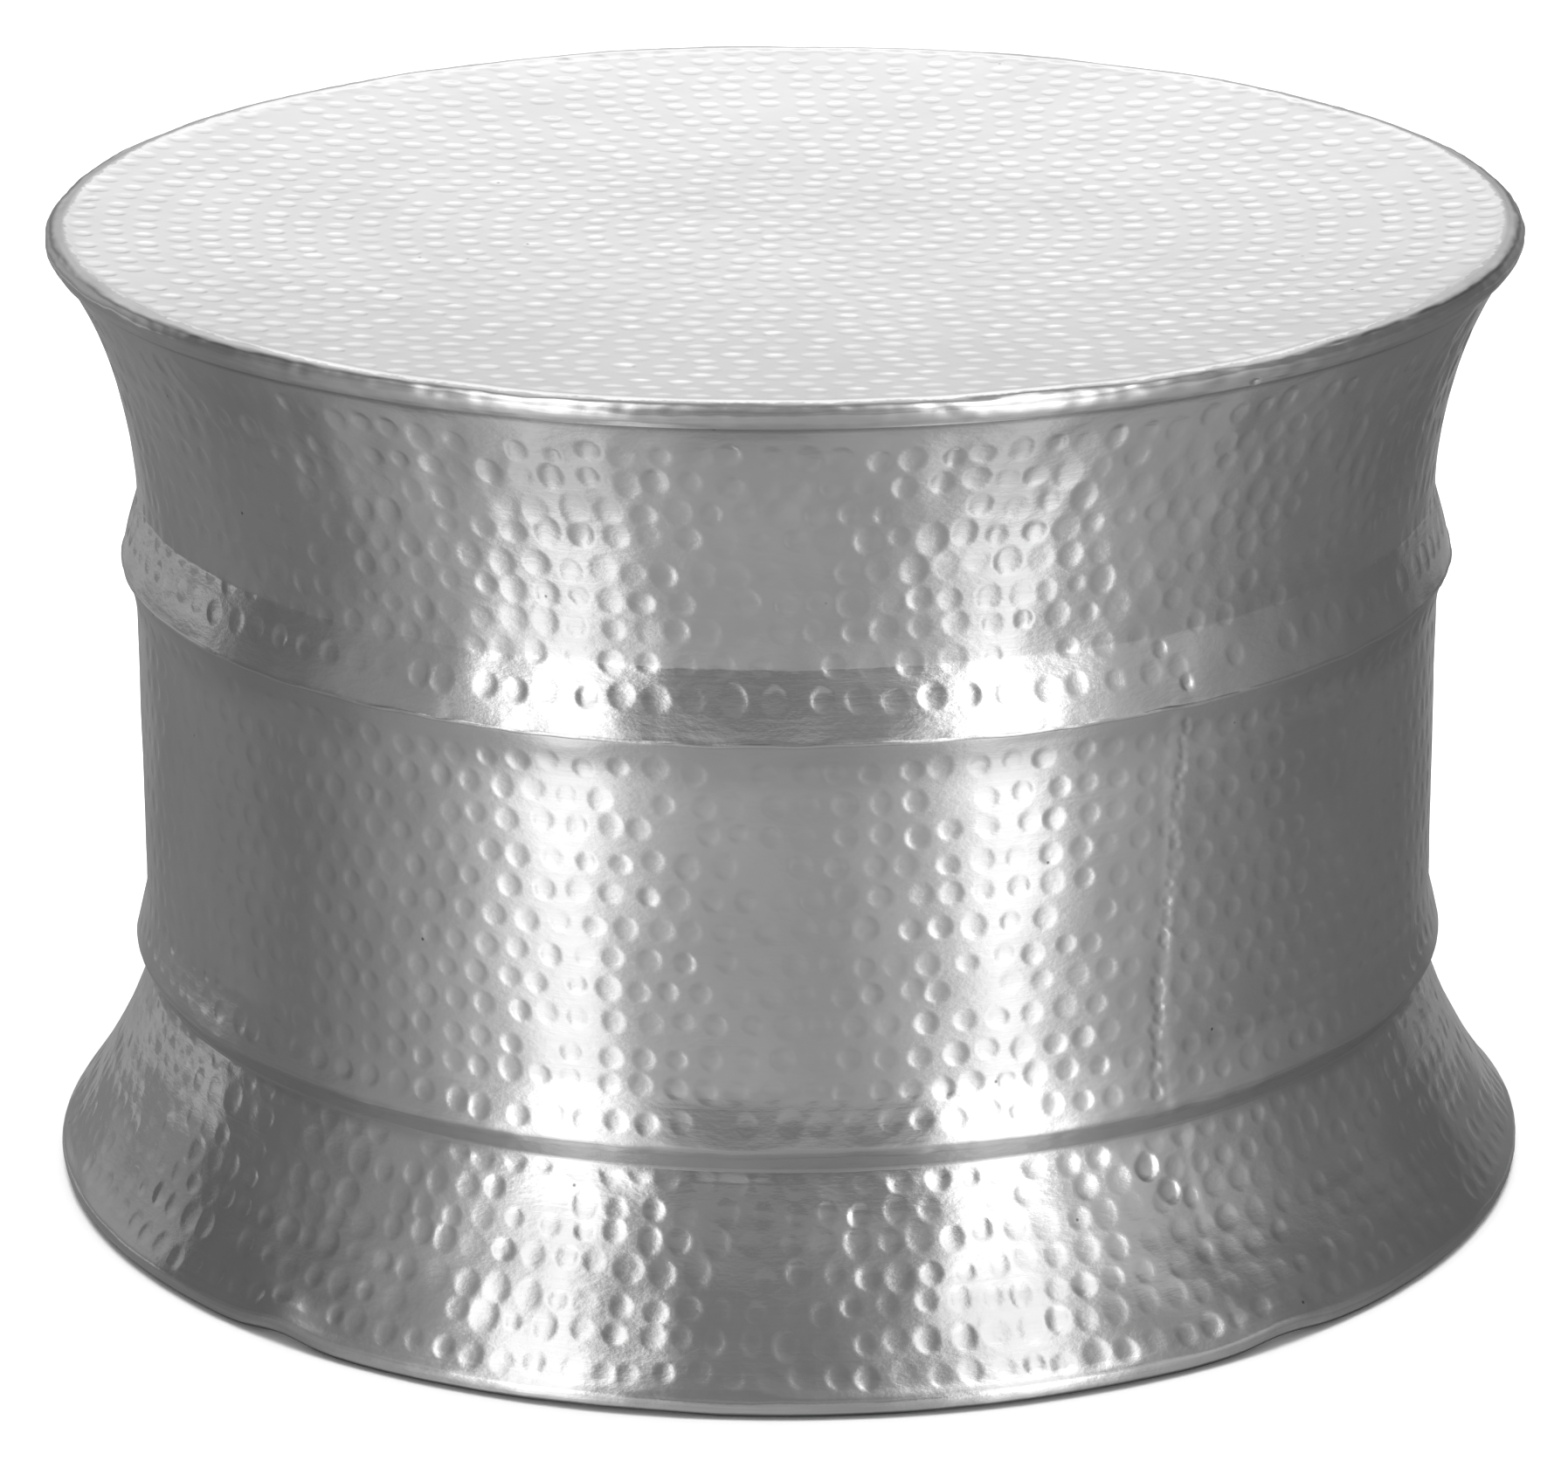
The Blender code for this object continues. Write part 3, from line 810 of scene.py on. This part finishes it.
def room_tones(tree, around, up):
    """Tones of the room's sides, as upright mirrors and as raised ones show them."""
    upright = scale_of(tree, around, -90, 90, [
        (-90, 0.36), (-76, 0.235), (-64, 0.21), (-48, 0.175), (-42, 0.205), (-35, 0.28), (-28, 0.37),
        (-12, 0.36), (-6, 0.34), (0, 0.35), (6, 0.34), (12, 0.365), (28, 0.37), (36, 0.31), (42, 0.235),
        (50, 0.17), (62, 0.14), (74, 0.15), (90, 0.42),
    ])
    raised = scale_of(tree, around, -90, 90, [
        (-90, 0.22), (-74, 0.28), (-58, 0.28), (-56, 0.135), (-47, 0.145), (-40, 0.22), (-32, 0.31),
        (-26, 0.37), (-16, 0.26), (-11, 0.16), (0, 0.15), (11, 0.16), (16, 0.26), (26, 0.46), (34, 0.42),
        (41, 0.27), (50, 0.165), (62, 0.14), (68, 0.13), (72, 0.17), (90, 0.28),
    ])
    ends = scale_of(tree, around, -90, 90, [
        (-90, 0.04), (-76, 0.16), (-58, 0.16), (-56, 0.0), (66, 0.0), (70, 0.09), (90, 0.14),
    ])
    ends = calc(tree, "MULTIPLY", ends, scale_of(tree, up, 0.0, 0.6, [
        (0.0, 0.0), (0.17, 0.0), (0.22, 1.0), (0.27, 1.0), (0.32, 0.0),
    ]))
    aside = calc(tree, "ABSOLUTE", around)
    middle = calc(tree, "SUBTRACT", 1.0, smooth(tree, aside, 9.0, 17.0))
    bars = calc(tree, "MULTIPLY", middle, scale_of(tree, up, 0.0, 1.0, [
        (0.0, 0.0), (0.26, 0.0), (0.287, 0.12), (0.386, 0.12), (0.413, 0.02), (0.453, 0.09), (0.493, 0.05),
        (0.546, 0.08), (0.60, 0.12), (0.9, 0.12),
    ]))
    raised = calc(tree, "ADD", calc(tree, "ADD", raised, ends), bars)
    share = scale_of(tree, around, -90, 90, [(20, 0.14), (27, 0.40), (42, 0.36), (50, 0.10), (70, 0.06)])
    dimmed = calc(tree, "SUBTRACT", 1.0, calc(tree, "MULTIPLY", smooth(tree, up, 0.38, 0.52), share))
    left = scale_of(tree, up, 0.0, 1.0, [
        (0.29, 0.84), (0.33, 0.64), (0.36, 0.66), (0.44, 0.80), (0.52, 0.92), (0.60, 1.0),
    ])
    left = calc(tree, "MULTIPLY", left, 1.25)
    factor = blend(tree, left, dimmed, smooth(tree, around, -58.0, -55.0))
    raised = calc(tree, "MULTIPLY", raised, factor)
    return blend(tree, upright, raised, smooth(tree, up, 0.16, 0.26))


def strip_lights(tree, around, up):
    """Light of the two strips, which raised mirrors show crisper, and of their glow higher up."""
    closer = calc(tree, "SUBTRACT", 1.0, calc(tree, "MULTIPLY", smooth(tree, up, 0.28, 0.42), 0.32))
    from_right = calc(tree, "SUBTRACT", around, 18.5)
    inner = calc(tree, "MULTIPLY", calc(tree, "MINIMUM", from_right, 0.0), closer)
    outer = calc(tree, "MAXIMUM", from_right, 0.0)
    to_right = calc(tree, "ADD", calc(tree, "ADD", inner, outer), 18.5)
    across = blend(tree, around, to_right, smooth(tree, around, 0.0, 5.0))
    soft = scale_of(tree, across, -40, 40, [
        (-34, 0.0), (-29, 0.04), (-25.4, 0.17), (-23.0, 0.50), (-21.2, 0.92), (-20.2, 1.0), (-18.0, 1.0),
        (-17.0, 0.90), (-15.2, 0.50), (-13, 0.18), (-10, 0.06), (-5, 0.0), (5, 0.0), (10, 0.06),
        (12.6, 0.18), (14.6, 0.50), (16.4, 0.92), (17.4, 1.0), (19.6, 1.0), (20.6, 0.90), (22.4, 0.50),
        (24.6, 0.18), (28, 0.05), (34, 0.0),
    ])
    crisp = scale_of(tree, across, -40, 40, [
        (-30, 0.0), (-25.5, 0.10), (-23.5, 0.75), (-22.0, 1.0), (-16.4, 1.0), (-14.8, 0.75), (-13.0, 0.08),
        (-10, 0.0), (10, 0.0), (12.6, 0.08), (14.2, 0.75), (15.6, 1.0), (21.2, 1.0), (22.8, 0.75),
        (25.0, 0.10), (30, 0.0),
    ])
    less = calc(tree, "MULTIPLY", smooth(tree, up, 0.28, 0.36), 0.6)
    strips = blend(tree, soft, crisp, calc(tree, "SUBTRACT", smooth(tree, up, 0.16, 0.26), less))
    power = scale_of(tree, up, -0.6, 1.0, [
        (-0.6, 0.12), (-0.42, 0.18), (-0.30, 0.25), (-0.15, 0.39), (0.0, 0.55), (0.2, 0.75), (0.27, 0.80),
        (0.346, 0.54), (0.573, 0.50), (0.64, 0.6), (0.8, 0.7),
    ])
    light = calc(tree, "MULTIPLY", calc(tree, "MULTIPLY", strips, power), 2.0)
    glow = scale_of(tree, calc(tree, "ABSOLUTE", around), 0, 40, [
        (0, 0.0), (7, 0.0), (12, 0.40), (16, 0.55), (24, 0.55), (29, 0.28), (34, 0.0),
    ])
    return calc(tree, "ADD", light, calc(tree, "MULTIPLY", glow, smooth(tree, up, 0.57, 0.67)))


def wall_tones(tree, near, right):
    """Tones of the wall behind the table, which the top shows."""
    wall = scale_of(tree, near, -0.4, 0.6, [
        (-0.40, 0.13), (-0.20, 0.30), (-0.12, 0.355), (-0.085, 0.375), (-0.06, 0.405), (-0.035, 0.455),
        (0.0, 0.475), (0.035, 0.51), (0.08, 0.62), (0.12, 0.60), (0.17, 0.54), (0.27, 0.46), (0.34, 0.25),
        (0.50, 0.19),
    ])
    wide = scale_of(tree, calc(tree, "ABSOLUTE", right), 0.0, 0.7, [
        (0.0, 1.0), (0.16, 0.96), (0.34, 0.6), (0.6, 0.2),
    ])
    return calc(tree, "MULTIPLY", calc(tree, "MULTIPLY", wall, wide), 2.0)


def make_world():
    """Grey room with two tall soft strip lights in front and a bright wall behind.

    A part of the room is named by the mirror that would show it to the camera: the mirror's
    azimuth round the table, from the front towards the right, and how far it faces up.
    """
    world = bpy.data.worlds.new("studio")
    bpy.context.scene.world = world
    world.use_nodes = True
    tree = world.node_tree
    mirror = mirror_of(tree)
    split = tree.nodes.new("ShaderNodeSeparateXYZ")
    tree.links.new(mirror, split.inputs["Vector"])
    right, back, up = split.outputs
    near = calc(tree, "MULTIPLY", back, -1.0)
    around = calc(tree, "MULTIPLY", calc(tree, "ARCTAN2", right, near), 180 / math.pi)
    room = calc(tree, "ADD", room_tones(tree, around, up), strip_lights(tree, around, up))
    room = calc(tree, "MULTIPLY", room, scale_of(tree, up, -1.0, 0.0, [
        (-1.0, 0.12), (-0.75, 0.20), (-0.60, 0.5), (-0.48, 1.0),
    ]))
    clutter = node_of(tree, "ShaderNodeTexNoise", Scale=6.0, Detail=2.0, Roughness=0.5)
    tree.links.new(mirror, clutter.inputs["Vector"])
    room = calc(tree, "MULTIPLY", room, spread(tree, clutter.outputs["Fac"], 0.86, 1.14))
    total = blend(tree, room, wall_tones(tree, near, right), smooth(tree, up, 0.82, 0.90))
    shade = tree.nodes["Background"]
    tree.links.new(total, shade.inputs["Strength"])
    shade.inputs["Color"].default_value = (1.0, 1.0, 1.0, 1.0)


def make_floor():
    """Wide pale floor, which the metal shows only through the room's own tones."""
    bpy.ops.mesh.primitive_plane_add(size=14.0, location=(0.0, 0.0, 0.0))
    floor = bpy.context.object
    floor.name = "studio_floor"
    material, tree, shader = new_material("pale_floor")
    grain = noise_of(tree, 3.0, (1, 1, 1), 2.0, 0.5)
    tones = [(0.3, 0.90), (0.7, 0.92)]
    tree.links.new(ramp(tree, grain, tones), shader.inputs["Base Color"])
    shader.inputs["Roughness"].default_value = 0.9
    floor.data.materials.append(material)
    floor.visible_glossy = False


def make_light():
    """Large soft light overhead."""
    data = bpy.data.lights.new("overhead", "AREA")
    data.shape = "DISK"
    data.size = 3.0
    data.energy = 160.0
    light = bpy.data.objects.new("overhead", data)
    light.location = (0.0, 0.2, 3.0)
    light.visible_glossy = False
    bpy.context.scene.collection.objects.link(light)


def make_camera():
    """Camera above the front edge, as in the photograph."""
    data = bpy.data.cameras.new("camera")
    data.sensor_fit = "HORIZONTAL"
    data.sensor_width = 36.0
    data.lens = VIEW_LENS
    camera = bpy.data.objects.new("camera", data)
    aim = Vector(VIEW_AIM)
    eye = aim + Vector((0.0, -math.cos(VIEW_TILT), math.sin(VIEW_TILT))) * VIEW_DISTANCE
    facing = (aim - eye).to_track_quat("-Z", "Y").to_matrix().to_4x4()
    roll = Matrix.Rotation(VIEW_ROLL, 4, "Z")
    camera.matrix_world = Matrix.Translation(eye) @ facing @ roll
    bpy.context.scene.collection.objects.link(camera)
    bpy.context.scene.camera = camera


# The table

def dress(piece, node, material):
    """Put a piece in the place of a CAD node."""
    piece.data.materials.append(material)
    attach(piece, "root")
    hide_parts(node)


def repaint(node, material):
    """Give a carried-over CAD node its material."""
    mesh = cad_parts[node].data
    mesh.materials.clear()
    mesh.materials.append(material)


make_camera()
make_world()
make_floor()
make_light()
bpy.context.scene.view_settings.view_transform = "Standard"

level_lines = (7.0, 7.0, 1300.0)
even_grain = (300.0, 300.0, 300.0)
# Painted shadow: a dark line on the flare just under the rim lip.
lip_shadow = [(TOP_Z - 0.0125, 1.0), (TOP_Z - 0.0108, 0.60)]
# Painted shade: the drum darker at its turned-in edge under the lower ridge and in the groove under the
# upper ridge.
ridge_groove_shade = [
    (LOWER_RIDGE_Z - 0.0020, 0.80), (LOWER_RIDGE_Z + 0.0015, 1.0),
    (UPPER_RIDGE_Z - 0.0190, 1.0), (UPPER_RIDGE_Z - 0.0080, 0.86),
]
# Painted shade: a dark foot edge standing in for the contact shadow, and a darker groove under the lower
# bead at the skirt's top.
foot_and_groove_shade = [(0.0010, 0.25), (0.0032, 1.0), (SKIRT_HEIGHT - 0.0050, 1.0), (SKIRT_HEIGHT - 0.0005, 0.80)]
# Each metal: tone, roughness, run of the brushing, its strength, strength of the grain, painted shade by
# height or rim
top_metal = aluminium("top_metal", 0.84, 0.13, even_grain, 0.10, 0.08, rim=True)
flare_metal = aluminium("flare_metal", 0.78, 0.17, level_lines, 0.35, 0.40, lip_shadow)
drum_metal = aluminium("drum_metal", 0.78, 0.16, level_lines, 0.35, 0.25, ridge_groove_shade)
skirt_metal = aluminium("skirt_metal", 0.78, 0.16, level_lines, 0.35, 0.35, foot_and_groove_shade)
dress(make_table_top(), "table_top", top_metal)
dress(make_upper_flare(), "upper_flare", flare_metal)
dress(make_mid_drum(), "mid_drum", drum_metal)
dress(make_base_flare(), "base_flare", skirt_metal)
steel = wire_steel()
repaint("rim_wire", steel)
dress(make_base_wire(), "base_wire", steel)
